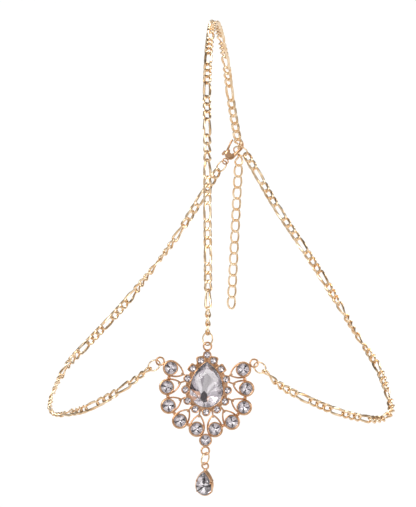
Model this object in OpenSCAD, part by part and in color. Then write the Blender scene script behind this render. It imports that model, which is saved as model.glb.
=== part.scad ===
// Hair chain: a crystal pendant for the forehead, a figaro chain over the crown, two side chains
// round the head, a lobster clasp and an extender at the back, and a pear drop under the pendant.
// Lengths are millimetres. +Z is up, the wearer faces -Y, and +X is the viewer's right.
// The origin is where the centre chain rests on the crown of the head.

/* [Stones] */
// Width of the pear-shaped centre stone
pear_w = 13; // [12.5:0.5:14]
// Height of the pear-shaped centre stone
pear_h = 18; // [17:0.5:19]
// Height of the centre stone above its girdle
pear_crown = 2.3; // [1.6:0.1:3]
// Diameter of the stones round the centre stone
halo_stone_d = 2.4; // [2.2:0.1:2.6]
// Diameter of the petal stones
petal_stone_d = 4.8; // [4.4:0.1:5]
// Diameter of the stone under the petals
base_stone_d = 4; // [3.6:0.1:4.4]
// Width of the drop stone
drop_stone_w = 6.6; // [6:0.1:7.4]
// Height of the drop stone
drop_stone_h = 10; // [9:0.5:11]

/* [Pendant] */
// Lean of the pendant back from the vertical, as it lies on the forehead, in degrees
lean = 22; // [16:1:28]
// Width of the petal wires
wire_w = 0.7; // [0.6:0.05:0.9]
// Depth of the petal wires, front to back
wire_h = 1.1; // [0.9:0.1:1.4]
// Depth of the stone settings, front to back
seat_h = 2.2; // [2:0.1:2.6]
// Depth of the wall round the centre stone
collet_h = 3.1; // [2.8:0.1:3.6]
// Thickness of the setting walls
seat_wall = 0.45; // [0.4:0.05:0.55]
// Thickness of the floor under each stone
floor_t = 0.5; // [0.4:0.05:0.7]
// Spacing of the stones round the centre stone, along their curve
halo_pitch = 4.5; // [4.3:0.1:4.7]
// Distance from the centre stone's round centre to the petal stones
fan_r = 16; // [15.6:0.1:16.6]
// Angle between neighbouring petals
fan_step = 27; // [26.5:0.5:28]
// Rim from a petal's stone to its outer edge
petal_rim = 0.85; // [0.85:0.1:1.05]
// Distance from the centre stone's round centre to the petals' tips, for a petal at fan_r
tip_r = 10; // [9.6:0.1:10.4]
// Wire diameter of the pendant's loops
loop_wire = 0.76; // [0.7:0.02:0.86]
// Inside diameter of the pendant's loops
loop_bore = 2.34; // [2.2:0.02:2.6]

/* [Rings] */
// Outside diameter of the jump rings
ring_d = 5.6; // [5.4:0.1:6]
// Wire diameter of the jump rings
ring_wire = 0.6; // [0.5:0.05:0.7]
// Outside diameter of the ring that the clasp hooks into
end_ring_d = 6.4; // [6:0.1:7]
// Turn of the jump rings out of the pendant's plane, in degrees
ring_roll = 38; // [36:1:46]

/* [Chain] */
// Wire diameter of the figaro chain
chain_wire = 0.6; // [0.5:0.05:0.65]
// Outside width of its links
link_w = 3.5; // [3.3:0.1:3.9]
// Distance that a small link adds to the chain
small_pitch = 3.5; // [3.3:0.05:3.7]
// Distance that a long link adds to the chain
long_pitch = 7.1; // [6.6:0.1:7.6]
// Turn of each link to either side of flat, in degrees
link_roll = 30; // [27:1:36]
// Play between two wires where links cross
play = 0.2; // [0.16:0.02:0.3]

/* [Extender] */
// Links in the extender
extender_links = 14; // [8:1:18]
// Distance that an extender link adds
extender_pitch = 4.8; // [4.4:0.1:5.2]
// Wire diameter of the extender
extender_wire = 0.55; // [0.5:0.05:0.6]

/* [Clasp] */
// Outer radius of the clasp's nose
nose_r = 3; // [2.8:0.05:3.2]
// Outer radius of the clasp's heel
heel_r = 2.2; // [2.1:0.05:2.4]
// Distance between the centres of nose and heel
claw_len = 4.6; // [4.4:0.1:5.2]
// Width of the hook's arm
arm_w = 1.2; // [1.1:0.05:1.3]
// Thickness of the hook's arm
arm_t = 1.4; // [1.2:0.1:1.5]
// Width of the lever
lever_w = 0.9; // [0.8:0.05:1]
// Thickness of the lever
lever_t = 0.8; // [0.7:0.05:0.9]
// Diameter of the lever's pin
pin_d = 0.7; // [0.6:0.05:0.8]
// Bore of the clasp's tail eye
eye_bore = 1.7; // [1.6:0.05:1.9]

/* [Drop] */
// Turn of the drop about its own hanging line, in degrees
drop_turn = 32; // [25:1:38]
// Turn of the ring that carries the drop, in degrees
drop_ring_turn = 55; // [48:1:60]
// Depth of the drop's setting
drop_seat_h = 3.2; // [2.8:0.1:3.6]
// Wire diameter of the drop's bail
bail_wire = 0.7; // [0.6:0.05:0.8]
// Outside diameter of the drop's bail
bail_d = 3.4; // [3.2:0.1:3.8]

/* [Hidden] */
$fn = 48;
HALO = 14;
PETALS = 10;

// Clearance round a stone in its setting
fit = 0.07;
// How far soldered pieces sink into each other, and the solder into the petals beside it
sink = 0.15;
blob_sink = 0.2;
rose_gold = [0.85, 0.6, 0.42];
pale_gold = [0.93, 0.78, 0.52];
crystal = [0.88, 0.88, 0.93];

// Places in the world: the pendant's origin is the centre of the centre stone's round end,
// and the end ring's centre is where the three chains and the clasp meet at the back.
pendant_at = [2, -100.8, -112.6];
back_at = [10.5, 61.5, -74.5];

// Where the side chains' flat faces look: forwards and up
facing = [0, -0.6, 0.8];

// Hand-chosen points of the chains between the rings that they hang from
centre_route = [[1.8, -86, -79], [1.3, -77.5, -63], [0.7, -69, -47], [0.3, -60, -32.5],
                [-0.3, -48.5, -19], [-0.8, -34.5, -8.7], [-0.8, -18, -1.8], [-0.4, 0, 0.7],
                [0.1, 16, -1.4], [1, 28.5, -6.6], [2, 37.5, -13.8], [3.1, 45.7, -22.5],
                [4.6, 54.5, -35], [6.2, 60, -51]];
left_route = [[-31, -97, -113.5], [-44, -90.5, -124.5], [-53, -79.5, -132], [-59, -69, -137],
              [-61.5, -57, -139.5], [-61, -44, -138.5], [-56.3, -26.5, -134.1], [-47.6, -9.6, -129.9],
              [-35.7, 8.4, -122.5], [-25.4, 24, -114.1], [-16, 36, -104.6], [-6.5, 47, -92.3]];
right_route = [[31, -96, -111.6], [41, -92, -118.7], [54, -84, -127.5], [65, -72, -135.2],
               [71.5, -61, -139.4], [74.6, -50.5, -140.2], [73.2, -41, -138], [70.8, -31, -134.6],
               [67, -20, -131.3], [59.4, -5, -126.1], [53.2, 6.9, -120.1], [44.9, 20.8, -111.9],
               [35.3, 34.3, -102.4], [25.1, 46.9, -91.8]];

// Petals from the top pair down: distance as a share of fan_r, and turn of the axis in degrees
petals = [[1.05, -6], [0.985, -24], [1.01, -6], [0.99, -3], [0.97, -4]];

// Vectors, frames and curves
function unit(v) = v / norm(v);
function across(v, t) = unit(v - (v * t) * t);
function polar(r, a) = [r * cos(a), r * sin(a)];
function turn_z(v, a) = [v.x * cos(a) - v.y * sin(a), v.x * sin(a) + v.y * cos(a), v.z];

// From the pendant's own frame, with x right, y up and z to the front, to the world's directions
function leant(p) = [p.x, p.y * sin(lean) - p.z * cos(lean), p.y * cos(lean) + p.z * sin(lean)];

// A smooth curve through points, as samples, their running length, and the point at a length
function spline_point(p, i, u) =
    let (n = len(p) - 1,
         a = i == 0 ? 2 * p[0] - p[1] : p[i - 1],
         b = p[i],
         c = p[i + 1],
         d = i + 1 == n ? 2 * p[n] - p[n - 1] : p[i + 2])
    (2 * b + (c - a) * u + (2 * a - 5 * b + 4 * c - d) * u * u + (3 * b - a - 3 * c + d) * u * u * u) / 2;
function samples(p, k = 10) =
    concat([for (i = [0:len(p) - 2], j = [0:k - 1]) spline_point(p, i, j / k)], [p[len(p) - 1]]);
function running(q) =
    [for (i = 0, s = 0; i < len(q); i = i + 1, s = i < len(q) ? s + norm(q[i] - q[i - 1]) : s) s];
function along(q, run, s) =
    [for (k = [0:2]) lookup(s, [for (i = [0:len(q) - 1]) [run[i], q[i][k]]])];

// A pear outline: a circle below, and two arcs that touch it and meet in a point above
function pear_big(r, h) = (h * h + r * r) / (2 * r);
function pear_reach(r, h, a) =
    let (big = pear_big(r, h), c = big - r)
    sin(a) <= 0 ? r : sqrt(big * big - pow(c * sin(a), 2)) - c * abs(cos(a));

// Derived sizes of the pendant
pear_r = pear_w / 2;
pear_tip = pear_h - pear_r;
girdle_z = collet_h - 0.2;
halo_seat_r = halo_stone_d / 2 + seat_wall;
halo_off = halo_seat_r + fit + 0.15;
petal_r = petal_stone_d / 2 + petal_rim;
petal_len = fan_r - tip_r;
blob_r = round((fan_r * sin(fan_step / 2) - petal_r + blob_sink) * 20) / 20;
base_seat_r = base_stone_d / 2 + 0.6;
loop_r = (loop_bore + loop_wire) / 2;
loop_out = loop_r + loop_wire / 2;
loop_z = wire_h / 2;
loop_rest = (loop_wire + ring_wire + play) / 2;
ring_rest = loop_rest + 0.35;
ring_r = (ring_d - ring_wire) / 2;

// Seat centres round the centre stone, counted along the offset curve from the bottom
function halo_point(k) =
    let (big = pear_big(pear_r, pear_tip), c = big - pear_r,
         s = abs(k) * halo_pitch,
         low = (pear_r + halo_off) * PI / 2,
         side = k < 0 ? -1 : 1,
         a = s < low ? s / (pear_r + halo_off) * 180 / PI - 90 : (s - low) / (big + halo_off) * 180 / PI)
    s < low ? [side * (pear_r + halo_off) * cos(a), (pear_r + halo_off) * sin(a), a]
            : [side * ((big + halo_off) * cos(a) - c), (big + halo_off) * sin(a), a];
halo_tip_y = pear_tip + halo_off + 0.9;
halo_points = concat([for (k = [-6:6]) halo_point(k)], [[0, halo_tip_y, 90]]);

// A petal's place: angle from the centre, centre, and direction of its tip, for side 1 or -1
function petal_angle(i) = -90 + fan_step * (4.5 - i);
function petal_at(i, side) = let (p = polar(fan_r * petals[i][0], petal_angle(i))) [side * p.x, p.y];
function petal_axis(i, side) =
    let (a = petal_angle(i) + 180 + petals[i][1]) side > 0 ? a : 180 - a;

base_y = petal_at(4, 1).y - sqrt(pow(petal_r + base_seat_r - sink, 2) - pow(petal_at(4, 1).x, 2));
bottom_loop_y = base_y - base_seat_r - loop_out + 2 * sink;
top_loop_y = halo_tip_y + halo_seat_r + loop_out - sink;
side_loop = let (a = petal_angle(0), p = petal_at(0, 1), q = polar(petal_r + loop_out - sink, a))
    [p.x + q.x, p.y + q.y];

// Jump rings on the pendant: direction of pull in the pendant's plane, and the ring's centre
across_x = [1, 0, 0];
upward = leant([0, 1, 0]);
top_pull = [0, 1, 0];
left_pull = unit([-0.81, -0.58, 0]);
right_pull = unit([0.8, -0.6, 0]);
function hung(c, pull) = pendant_at + leant([c.x, c.y, loop_z] + (loop_r - ring_rest + ring_r) * pull);
top_ring_at = hung([0, top_loop_y], top_pull);
left_ring_at = hung([-side_loop.x, side_loop.y], left_pull);
right_ring_at = hung(side_loop, right_pull);

// Where two wires of the chain cross, each stands off the crossing point by this much
hook = (chain_wire + play) / 2;
ring_hook = ring_r - (ring_wire + play) / 2;

// The back: the end ring's plane, and the places on it
end_r = (end_ring_d - ring_wire) / 2;
end_major = unit([0.951, -0.309, 0]);
end_minor = unit([0.186, 0.5725, 0.799]);
end_hook = end_r - (ring_wire + play) / 2 - 0.08;
function on_end(a, r = end_r) = back_at + leant(r * (cos(a) * end_major + sin(a) * end_minor));
function end_wire(a) = leant(cos(a) * end_minor - sin(a) * end_major);
centre_turn = 118;
right_turn = -12;
extender_turn = -98;
centre_end = on_end(centre_turn, end_hook);
right_end = on_end(right_turn, end_hook);

// The clasp: its axis, the centre of its nose and of its tail eye, and the ring through the eye
clasp_tilt = 57;
clasp_at = back_at + leant([-3, 0.55, -0.2]);
eye_r = eye_bore / 2 + 0.55;
eye_x = -claw_len / 2 - heel_r - eye_r + 0.2;
eye_at = clasp_at + leant(concat(polar(eye_x, clasp_tilt), [0]));
tail_pull = unit([-0.6, -0.8, 0.05]);
tail_roll = 52;
tail_across = leant([0.8, -0.6, 0]);
tail_ring_at = eye_at + leant(ring_r * tail_pull);
left_end = tail_ring_at + leant(ring_hook * tail_pull);

// The side of a ring that hangs from t and is turned by roll from ref, as aim() places it
function ring_side(t, ref, roll) =
    let (lat = across(ref, t)) cos(roll) * lat + sin(roll) * cross(t, lat);

// A piece whose long axis is t, whose flat lies across it and towards ref, turned by roll about t
module aim(at, t, ref, roll = 0) {
    y = ring_side(t, ref, roll);
    z = cross(t, y);
    multmatrix([[t.x, y.x, z.x, at.x], [t.y, y.y, z.y, at.y], [t.z, y.z, z.z, at.z]]) children();
}

// A link with straight sides: outer length and width, and wire diameter, long along x
module link(length, width, wire) {
    r = (width - wire) / 2;
    straight = round((length - width) * 50) / 50;
    for (s = [0, 180])
        rotate([0, 0, s]) {
            translate([straight / 2, 0, 0])
                rotate([0, 0, -90]) rotate_extrude(angle = 180) translate([r, 0]) circle(d = wire);
            translate([-straight / 2, r, 0]) rotate([0, 90, 0]) cylinder(h = straight, d = wire);
        }
}

module round_ring(r, wire) {
    rotate_extrude() translate([r, 0]) circle(d = wire);
}

// A figaro chain from one crossing point to the other through a route: the number of whole
// periods comes from its length, lead shifts the pattern, and the last tail links are small.
// across_at gives the direction across the chain's flat for a direction along it, and each end
// link stands across the wire that it holds, whose direction there is given.
module figaro(route, across_at, lead, tail, side, first_wire, last_wire) {
    q = samples(route);
    run = running(q);
    whole = run[len(run) - 1];
    extra = lead == 0 ? tail * small_pitch : long_pitch + tail * small_pitch;
    period = long_pitch + 3 * small_pitch;
    n = 4 * round((whole - extra) / period) + tail + (lead == 0 ? 0 : 1);
    pitch = [for (i = [0:n - 1]) (i + lead) % 4 == 3 && i < n - tail ? long_pitch : small_pitch];
    sums = [for (i = 0, s = 0; i <= n; s = i < n ? s + pitch[i] : s, i = i + 1) s];
    stretch = whole / sums[n];
    for (i = [0:n - 1]) {
        a = along(q, run, sums[i] * stretch);
        b = along(q, run, sums[i + 1] * stretch);
        t = unit(b - a);
        ends = i == 0 || i == n - 1;
        flat = i == 0 ? cross(t, first_wire) : i == n - 1 ? cross(t, last_wire) : across_at(t);
        roll = ends ? 0 : (i % 2 == 0 ? 1 : -1) * side * link_roll;
        aim((a + b) / 2, t, flat, roll) link(norm(b - a) + 2 * hook + chain_wire, link_w, chain_wire);
    }
}

// Joins a ring of table points to a girdle ring with twice as many
function fan(m, top, low) =
    [for (i = [0:m - 1]) each let (j = (i + 1) % m)
        [[top + i, low + 2 * i + 1, low + 2 * i],
         [top + i, top + j, low + 2 * i + 1],
         [top + j, low + (2 * i + 2) % (2 * m), low + 2 * i + 1]]];
function flipped(faces) = [for (f = faces) [f[2], f[1], f[0]]];

// A cut stone: girdle outline as reach at each angle, table and back as shares of it
module stone(reach, centre_y, crown, back, table, foot) {
    n = len(reach);
    m = n / 2;
    edge = 0.12;
    outline = [for (i = [0:n - 1]) polar(reach[i], 90 + i * 360 / n)];
    function shrunk(p, k) = [p.x * k, centre_y + (p.y - centre_y) * k];
    points = concat(
        [for (i = [0:m - 1]) concat(shrunk(outline[2 * i], table), [crown])],
        [for (p = outline) [p.x, p.y, edge / 2]],
        [for (p = outline) [p.x, p.y, -edge / 2]],
        [for (i = [0:m - 1]) concat(shrunk(outline[2 * i], foot), [-back])]);
    band = [for (i = [0:n - 1]) each let (j = (i + 1) % n)
        [[m + i, m + j, m + n + j], [m + i, m + n + j, m + n + i]]];
    polyhedron(points, concat(
        [[for (i = [m - 1:-1:0]) i]], fan(m, 0, m), band,
        flipped(fan(m, m + 2 * n, m + n)), [[for (i = [0:m - 1]) m + 2 * n + i]]));
}
module round_stone(d, back) {
    stone([for (i = [0:15]) d / 2], 0, d * 0.22, back, 0.56, 0.2);
}
module pear_stone(w, h, crown, back) {
    r = w / 2;
    stone([for (i = [0:31]) pear_reach(r, h - r, 90 + i * 11.25)], (h - w) / 4, crown, back, 0.6, 0.45);
}

// A pear outline grown by more all round
module pear(r, h, more = 0) {
    big = pear_big(r, h);
    c = big - r;
    circle(r + more);
    intersection() {
        translate([-c, 0]) circle(big + more);
        translate([c, 0]) circle(big + more);
        translate([-r - more, 0]) square([2 * (r + more), h + more + r]);
    }
}

module on_pendant() {
    translate(pendant_at) rotate([90 - lean, 0, 0]) children();
}
module at_back() {
    translate(back_at) rotate([90 - lean, 0, 0]) children();
}
// Places its children at a petal's stone, with +x towards the tip
module at_petal(i, side) {
    translate(petal_at(i, side)) rotate([0, 0, petal_axis(i, side)]) children();
}

module petal_wires() {
    tip_run = halo_seat_r;
    rotate([0, 0, -90]) linear_extrude(wire_h) difference() {
        pear(petal_r, petal_len);
        pear(petal_r, petal_len, -wire_w);
    }
    translate([petal_len - 2 * wire_w, -wire_w / 2, 0]) cube([2 * wire_w + tip_run, wire_w, wire_h]);
}
module cup(d) {
    cylinder(h = seat_h, r = d / 2 + fit + seat_wall);
}
module pocket(d, deep) {
    translate([0, 0, floor_t]) cylinder(h = deep, r = d / 2 + fit);
}
// Four small beads that hold a round stone
module beads(r, z) {
    bead = 0.3;
    for (a = [45:90:315])
        rotate([0, 0, a]) translate([r, 0, 0]) cylinder(h = z + bead / 2, r = bead);
}
module bridge(p, q) {
    d = q - p;
    translate(p) rotate([0, 0, atan2(d.y, d.x)]) translate([0, -wire_w / 2, 0])
        cube([norm(d), wire_w, wire_h]);
}
module loop_at(p) {
    translate([p.x, p.y, loop_z]) round_ring(loop_r, loop_wire);
}

module pendant_frame() {
    color(rose_gold) on_pendant() difference() {
        union() {
            linear_extrude(collet_h) pear(pear_r, pear_tip, fit + seat_wall);
            for (p = halo_points)
                translate([p.x, p.y, 0]) {
                    cup(halo_stone_d);
                    rotate([0, 0, p.z]) beads(halo_seat_r, seat_h);
                }
            for (i = [0:11]) bridge(halo_xy(i), halo_xy(i + 1));
            for (side = [-1, 1], i = [0:4])
                at_petal(i, side) {
                    petal_wires();
                    cup(petal_stone_d);
                }
            for (side = [-1, 1], i = [0:3])
                translate((petal_at(i, side) + petal_at(i + 1, side)) / 2) cylinder(h = wire_h, r = blob_r);
            translate([0, base_y, 0]) cylinder(h = seat_h, r = base_seat_r);
            bridge([0, pear_tip], [0, halo_tip_y]);
            loop_at([0, top_loop_y]);
            loop_at([0, bottom_loop_y]);
            for (side = [-1, 1]) loop_at([side * side_loop.x, side_loop.y]);
        }
        translate([0, 0, floor_t]) linear_extrude(collet_h + 2) pear(pear_r, pear_tip, fit);
        for (p = halo_points) translate([p.x, p.y, 0]) pocket(halo_stone_d, seat_h + 1);
        for (side = [-1, 1], i = [0:4]) at_petal(i, side) pocket(petal_stone_d, seat_h + 1);
        translate([0, base_y, 0]) pocket(base_stone_d, seat_h + 1);
    }
}
function halo_xy(i) = [halo_points[i].x, halo_points[i].y];

// Stones of the pendant
module centre_stone() {
    color(crystal) on_pendant() translate([0, 0, girdle_z])
        pear_stone(pear_w, pear_h, pear_crown, girdle_z - floor_t - fit);
}
module seated_stone(d) {
    z = seat_h - 0.35;
    translate([0, 0, z]) round_stone(d, z - floor_t - fit);
}
module halo_stone(i) {
    p = halo_points[i - 1];
    color(crystal) on_pendant() translate([p.x, p.y, 0]) rotate([0, 0, p.z]) seated_stone(halo_stone_d);
}
module petal_stone(i) {
    side = i > 5 ? 1 : -1;
    color(crystal) on_pendant() at_petal((i - 1) % 5, side) seated_stone(petal_stone_d);
}
module base_stone() {
    color(crystal) on_pendant() translate([0, base_y, 0]) seated_stone(base_stone_d);
}

// Jump rings
module top_ring() {
    color(rose_gold) aim(top_ring_at, leant(top_pull), across_x, -ring_roll)
        round_ring(ring_r, ring_wire);
}
module left_ring() {
    color(rose_gold) aim(left_ring_at, leant(left_pull), upward, ring_roll)
        round_ring(ring_r, ring_wire);
}
module right_ring() {
    color(rose_gold) aim(right_ring_at, leant(right_pull), upward, -ring_roll)
        round_ring(ring_r, ring_wire);
}
module tail_ring() {
    color(rose_gold) aim(tail_ring_at, leant(tail_pull), tail_across, tail_roll)
        round_ring(ring_r, ring_wire);
}
module end_ring() {
    color(rose_gold) aim(back_at, leant(end_major), leant(end_minor)) round_ring(end_r, ring_wire);
}

// Chains
module centre_chain() {
    start = top_ring_at + leant(ring_hook * top_pull);
    color(pale_gold) figaro(concat([start], centre_route, [centre_end]), function (t) across_x, 0, 6, 1,
        ring_side(leant(top_pull), across_x, -ring_roll), end_wire(centre_turn));
}
module left_chain() {
    start = left_ring_at + leant(ring_hook * left_pull);
    color(pale_gold) figaro(concat([start], left_route, [left_end]), function (t) cross(facing, t), 0, 3, 1,
        ring_side(leant(left_pull), upward, ring_roll), ring_side(leant(tail_pull), tail_across, tail_roll));
}
module right_chain() {
    start = right_ring_at + leant(ring_hook * right_pull);
    color(pale_gold) figaro(concat([start], right_route, [right_end]), function (t) cross(facing, t), 3, 2, 1,
        ring_side(leant(right_pull), upward, -ring_roll), end_wire(right_turn));
}
module extender_chain() {
    gap = (ring_wire + extender_wire + play) / 2;
    lap = (extender_wire + play) / 2;
    length = extender_pitch + 2 * lap + extender_wire;
    down = unit([-0.038, 0, -1]);
    wire = end_wire(extender_turn);
    first = on_end(extender_turn) - gap * across(down, wire) + down * (length - extender_wire) / 2;
    color(pale_gold) for (i = [0:extender_links - 1])
        aim(first + down * i * extender_pitch, down, i == 0 ? cross(down, wire) : across_x,
            i == 0 ? 0 : (i % 2 == 0 ? -1 : 1) * link_roll)
            link(length, link_w, extender_wire);
}

// The clasp's outline: two circles and the lines that touch both
module claw(big, small, near, far) {
    a = acos((small - big) / (near - far));
    translate([near, 0]) circle(big);
    translate([far, 0]) circle(small);
    polygon([[near + big * cos(a), big * sin(a)], [far + small * cos(a), small * sin(a)],
             [far + small * cos(a), -small * sin(a)], [near + big * cos(a), -big * sin(a)]]);
}
nose_x = claw_len / 2;
heel_x = -claw_len / 2;
mouth_far = heel_x + heel_r - 0.6;
mouth_r = 1.05;
gate_from = heel_x + heel_r - 0.5;
gate_to = nose_x + 1.4;
tip_gap = 0.35;
pivot = [heel_x, -1.15];
hub_r = 0.95;
heel_t = lever_t + 2 * 0.1 + 2 * 0.45;
slot_t = lever_t + 2 * 0.1;
module claw_outer(inset = 0) {
    claw(nose_r - inset, heel_r - inset, nose_x, heel_x);
}
module claw_mouth() {
    claw(nose_r - arm_w, mouth_r, nose_x, mouth_far);
}
module slab(t) {
    translate([0, 0, -t / 2]) linear_extrude(t) children();
}
module clasp_frame() {
    translate(clasp_at) rotate([90 - lean, 0, 0]) rotate([0, 0, clasp_tilt]) mirror([0, 1, 0]) children();
}
module clasp_body() {
    color(rose_gold) clasp_frame() {
        difference() {
            union() {
                slab(arm_t) difference() {
                    claw_outer();
                    translate([gate_from, -nose_r - 1]) square([gate_to - gate_from, nose_r + 1]);
                }
                slab(heel_t) translate([heel_x, 0]) circle(heel_r);
                slab(0.8) {
                    translate([eye_x, 0]) circle(eye_r);
                    translate([eye_x, -0.6]) square([heel_x - eye_x, 1.2]);
                }
            }
            slab(heel_t + 1) claw_mouth();
            slab(1) translate([eye_x, 0]) circle(d = eye_bore);
            slab(slot_t) {
                translate(pivot) circle(hub_r + 0.15);
                translate([heel_x - heel_r, -heel_r - 1]) square([2 * heel_r, heel_r + 1 + pivot.y]);
                translate([pivot.x, -heel_r]) square([heel_r, heel_r - 0.6]);
            }
        }
        translate([pivot.x, pivot.y, -heel_t / 2]) cylinder(h = heel_t, d = pin_d);
    }
}
module clasp_lever() {
    color(rose_gold) clasp_frame() slab(lever_t) difference() {
        union() {
            intersection() {
                difference() {
                    claw_outer(0.05);
                    claw_outer(0.05 + lever_w);
                }
                translate([pivot.x, -nose_r]) square([gate_to - tip_gap - pivot.x, nose_r - 0.6]);
            }
            translate(pivot) circle(hub_r);
            translate([pivot.x - 1.5, -heel_r - 0.25]) circle(0.55);
            translate([pivot.x - 1.5, -heel_r - 0.8]) square([1.5, 1.1]);
        }
        translate(pivot) circle(d = pin_d + 0.12);
    }
}

// The drop: a ring in the pendant's bottom loop, and a pear stone in claws on a bail
loop_low = pendant_at + leant([0, bottom_loop_y - loop_r, loop_z]);
drop_ring_at = loop_low + [0, 0, loop_rest - ring_r];
bail_r = (bail_d - bail_wire) / 2;
bail_rest = (ring_wire + bail_wire + play) / 2;
bail_at = drop_ring_at - [0, 0, ring_r - bail_rest + bail_r];
drop_tip = drop_stone_h - drop_stone_w / 2;
drop_stone_at = bail_at - [0, 0, bail_d / 2 + 0.3 + drop_tip];
// The stone stands before the bail, so that stone and setting balance under it
drop_ahead = 1.4;
module drop_ring() {
    color(rose_gold) aim(drop_ring_at, [0, 0, 1], turn_z([1, 0, 0], drop_ring_turn))
        round_ring(ring_r, ring_wire);
}
module drop_frame(at, ahead = 0) {
    translate(at) rotate([0, 0, -drop_turn]) rotate([90, 0, 0]) translate([0, 0, ahead]) children();
}
module drop_setting() {
    r = drop_stone_w / 2;
    claw_w = 0.6;
    color(rose_gold) {
        drop_frame(bail_at) round_ring(bail_r, bail_wire);
        drop_frame(drop_stone_at, drop_ahead) {
            difference() {
                union() {
                    translate([0, 0, -drop_seat_h]) linear_extrude(0.8) difference() {
                        pear(r, drop_tip, fit - 0.3);
                        pear(r, drop_tip, fit - 1.1);
                    }
                    translate([0, 0, -1.2]) linear_extrude(0.7) difference() {
                        pear(r, drop_tip, fit + 0.3);
                        pear(r, drop_tip, fit - 0.6);
                    }
                    for (a = [40, 140, 215, 325]) {
                        p = polar(pear_reach(r, drop_tip, a) + 0.2, a);
                        translate([p.x, p.y, -drop_seat_h]) cylinder(h = drop_seat_h + 0.5, d = claw_w);
                        translate([p.x, p.y, -drop_seat_h + 0.4]) rotate([0, 0, a + 180])
                            translate([0, -claw_w / 2, -0.4]) cube([1.2, claw_w, 0.8]);
                    }
                    translate([-0.5, drop_tip - 0.3, -drop_ahead - 0.4]) cube([1, 0.9, drop_ahead + 0.7]);
                }
                translate([0, 0, -0.5]) linear_extrude(3) pear(r, drop_tip, fit);
            }
        }
    }
}
module drop_stone() {
    color(crystal) drop_frame(drop_stone_at, drop_ahead)
        pear_stone(drop_stone_w, drop_stone_h, drop_stone_w * 0.2, 0.5 - fit);
}

pendant_frame();
centre_stone();
base_stone();
top_ring();
left_ring();
right_ring();
drop_ring();
drop_setting();
drop_stone();
centre_chain();
left_chain();
right_chain();
extender_chain();
tail_ring();
end_ring();
clasp_body();
clasp_lever();
for (i = [1:HALO]) halo_stone(i);
for (i = [1:PETALS]) petal_stone(i);
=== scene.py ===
"""Looks of a hair chain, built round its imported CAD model.

Twisted figaro links, wire rings with their cuts, a soldered pendant with cut stones in their
seats, the pear drop and the lobster clasp. Run it as a script in Blender. Inside, lengths are
millimetres in the CAD model's frame: +Z is up and the wearer faces -Y. Sizes that a user may
change are properties in metres.
"""

import math

import bpy
import numpy as np
from bpy.props import (FloatProperty, FloatVectorProperty, IntProperty, PointerProperty,
                       StringProperty)
from mathutils import Matrix, Vector


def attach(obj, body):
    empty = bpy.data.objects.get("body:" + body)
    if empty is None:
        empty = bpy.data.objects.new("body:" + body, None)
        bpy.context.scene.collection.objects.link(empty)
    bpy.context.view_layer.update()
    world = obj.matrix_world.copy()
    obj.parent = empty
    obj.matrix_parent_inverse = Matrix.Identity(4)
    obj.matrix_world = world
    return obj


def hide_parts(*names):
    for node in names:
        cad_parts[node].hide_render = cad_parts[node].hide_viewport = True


bl_info = {
    "name": "Hair chain",
    "version": (1, 0, 0),
    "blender": (4, 5, 0),
    "location": "View3D > Sidebar > Hair chain",
    "description": "Builds a hair chain with its crystal pendant, drop, clasp and extender",
    "category": "Object",
}

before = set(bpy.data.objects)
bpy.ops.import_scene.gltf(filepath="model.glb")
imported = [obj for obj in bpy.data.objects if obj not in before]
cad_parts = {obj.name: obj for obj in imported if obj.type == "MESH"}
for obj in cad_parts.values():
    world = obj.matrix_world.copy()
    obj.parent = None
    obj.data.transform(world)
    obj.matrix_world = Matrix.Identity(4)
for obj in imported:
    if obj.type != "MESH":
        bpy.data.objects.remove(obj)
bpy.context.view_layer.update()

# A millimetre in metres, and the matrix of a place that isn't moved
MM = 0.001
HERE = np.eye(4)

# Where each ring's cut is, as a direction from its centre, away from what hangs in it
RING_CUTS = {
    "top_ring": (1, 0, 0.2),
    "left_ring": (-0.5, 0, 0.8),
    "right_ring": (0.5, 0, 0.8),
    "drop_ring": (0.4, 1, 0),
    "tail_ring": (0.8, 0, -0.5),
    "end_ring": (0.4, 0.3, 0.8),
}

# How each chain's flat turns as it lies: millimetres along the chain, and degrees
CHAIN_TURNS = {
    "centre_chain": ((0, 80), (6, 70), (12, 45), (21, 10), (29, 2), (60, 8), (71, 45), (80, 15),
                     (88, 5), (139, 5), (181, 14), (189, 32), (198, 23), (206, 12), (224, 6)),
    "left_chain": ((0, 41), (12, 5), (20, -12), (28, -42), (36, -41), (43, -5), (51, 4), (58, 25),
                   (66, 53), (74, 85), (89, 98), (97, 85), (112, 53), (120, 23), (150, 30),
                   (158, 64), (166, 87), (173, 104), (181, 83), (189, 74), (197, 42), (204, 22)),
    "right_chain": ((0, -45), (6, -7), (14, 14), (22, 33), (29, 40), (45, 46), (53, 30), (61, 11),
                    (68, -1), (76, -34), (84, -58), (92, -67), (100, -41), (115, -50), (123, -82),
                    (131, -90), (139, -72), (147, -65), (155, -37), (170, -36), (178, -21),
                    (186, -16)),
    "extender_chain": ((0, 0),),
}

# The round stones in rings: round the centre stone, and in the petals
HALO = ["halo_stone_%d" % i for i in range(1, 15)]
PETALS = ["petal_stone_%d" % i for i in range(1, 11)]

# Turn of each petal's tip from the line to the middle, in degrees, from the top pair down
PETAL_TURNS = (6, 24, 6, 3, 4)

# Between a stone's edge and the wall of its seat, in millimetres
SEAT_GAP = 0.07

# Seats round the centre stone that are square with a raised rim: the two pairs under the top one
SQUARE_SEATS = (1, 2, 12, 13)


# Sizes and colours

def size(name, description, millimetres):
    """A length property whose default is given in millimetres."""
    return FloatProperty(name=name, description=description, default=millimetres * MM,
                         min=0.0, subtype="DISTANCE", unit="LENGTH", precision=5)


def turn(name, description, degrees):
    """An angle property whose default is given in degrees."""
    return FloatProperty(name=name, description=description, default=math.radians(degrees),
                         subtype="ANGLE", unit="ROTATION")


def colour(name, description, hex_value):
    """A colour property that holds an sRGB hex value."""
    return StringProperty(name=name, description=description, default=hex_value)


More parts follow.
